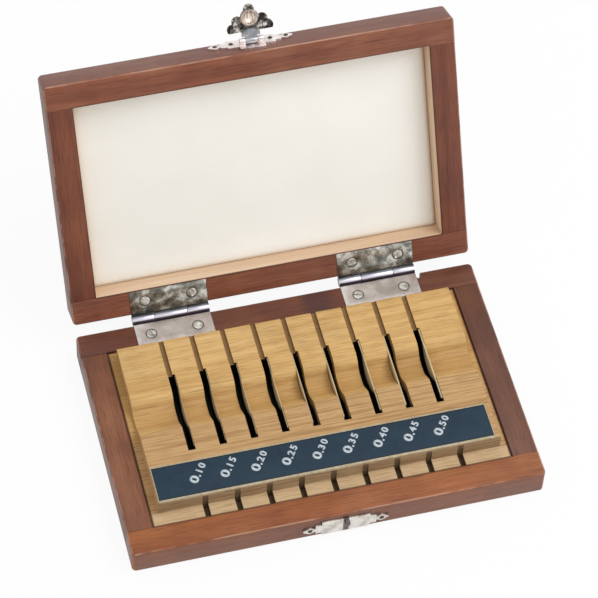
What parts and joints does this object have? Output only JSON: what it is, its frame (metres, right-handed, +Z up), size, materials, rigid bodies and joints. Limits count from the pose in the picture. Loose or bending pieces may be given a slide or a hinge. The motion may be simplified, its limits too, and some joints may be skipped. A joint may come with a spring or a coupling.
{
  "type": "gauge block case",
  "caption": "Small wooden case with a hinged padded lid, a latch and a slotted block that holds thin gauge blocks on edge.",
  "frame": {"origin": "middle of the case's flat underside", "axes": "+X to the right along the front, +Y from the latch side to the hinges, +Z up"},
  "size_m": [0.146, 0.1534, 0.1067],
  "materials": {
    "stained_wood": "satin varnish over a red-brown stain",
    "pale_wood": "bare, straight-grained",
    "pad": "soft white cloth over a thin pad",
    "label": "dark blue print with white numbers",
    "nickel_plate": "nickel-plated steel",
    "gauge_steel": "lapped"
  },
  "bodies": {
    "base": {"base_front_rail": "stained_wood", "base_back_rail": "stained_wood", "base_left_side": "stained_wood", "base_right_side": "stained_wood", "base_panel": "stained_wood", "slot_block": "pale_wood", "label_strip": "label", "catch_plate": "nickel_plate", "catch_nails": "nickel_plate", "left_hinge_lower_leaf": "nickel_plate", "right_hinge_lower_leaf": "nickel_plate", "left_hinge_pin": "nickel_plate", "right_hinge_pin": "nickel_plate", "base_hinge_screws": "nickel_plate"},
    "lid": {"lid_front_rail": "stained_wood", "lid_back_rail": "stained_wood", "lid_left_side": "stained_wood", "lid_right_side": "stained_wood", "lid_panel": "stained_wood", "lid_pad": "pad", "latch_plate": "nickel_plate", "latch_nails": "nickel_plate", "latch_pin": "nickel_plate", "left_hinge_upper_leaf": "nickel_plate", "right_hinge_upper_leaf": "nickel_plate", "lid_hinge_screws": "nickel_plate"},
    "latch": {"latch_flap": "nickel_plate"},
    "gauge_010_body": {"gauge_010": "gauge_steel"},
    "gauge_015_body": {"gauge_015": "gauge_steel"},
    "gauge_020_body": {"gauge_020": "gauge_steel"},
    "gauge_025_body": {"gauge_025": "gauge_steel"},
    "gauge_030_body": {"gauge_030": "gauge_steel"},
    "gauge_035_body": {"gauge_035": "gauge_steel"},
    "gauge_040_body": {"gauge_040": "gauge_steel"},
    "gauge_045_body": {"gauge_045": "gauge_steel"},
    "gauge_050_body": {"gauge_050": "gauge_steel"}
  },
  "joints": [
    {"name": "lid_hinge", "type": "hinge", "parent": "base", "child": "lid", "pos_m": [0, 0.04825, 0.01105], "axis": [-1, 0, 0], "range_deg": [-117, 0]},
    {"name": "latch_pivot", "type": "hinge", "parent": "lid", "child": "latch", "pos_m": [0.0018, 0.09736, 0.09455], "axis": [-1, 0, 0], "range_deg": [-90, 75]},
    {"name": "gauge_010_lift", "type": "slide", "parent": "base", "child": "gauge_010_body", "axis": [0, 0, 1], "range_m": [0, 0.015]},
    {"name": "gauge_015_lift", "type": "slide", "parent": "base", "child": "gauge_015_body", "axis": [0, 0, 1], "range_m": [0, 0.015]},
    {"name": "gauge_020_lift", "type": "slide", "parent": "base", "child": "gauge_020_body", "axis": [0, 0, 1], "range_m": [0, 0.015]},
    {"name": "gauge_025_lift", "type": "slide", "parent": "base", "child": "gauge_025_body", "axis": [0, 0, 1], "range_m": [0, 0.015]},
    {"name": "gauge_030_lift", "type": "slide", "parent": "base", "child": "gauge_030_body", "axis": [0, 0, 1], "range_m": [0, 0.015]},
    {"name": "gauge_035_lift", "type": "slide", "parent": "base", "child": "gauge_035_body", "axis": [0, 0, 1], "range_m": [0, 0.015]},
    {"name": "gauge_040_lift", "type": "slide", "parent": "base", "child": "gauge_040_body", "axis": [0, 0, 1], "range_m": [0, 0.015]},
    {"name": "gauge_045_lift", "type": "slide", "parent": "base", "child": "gauge_045_body", "axis": [0, 0, 1], "range_m": [0, 0.015]},
    {"name": "gauge_050_lift", "type": "slide", "parent": "base", "child": "gauge_050_body", "axis": [0, 0, 1], "range_m": [0, 0.015]}
  ]
}
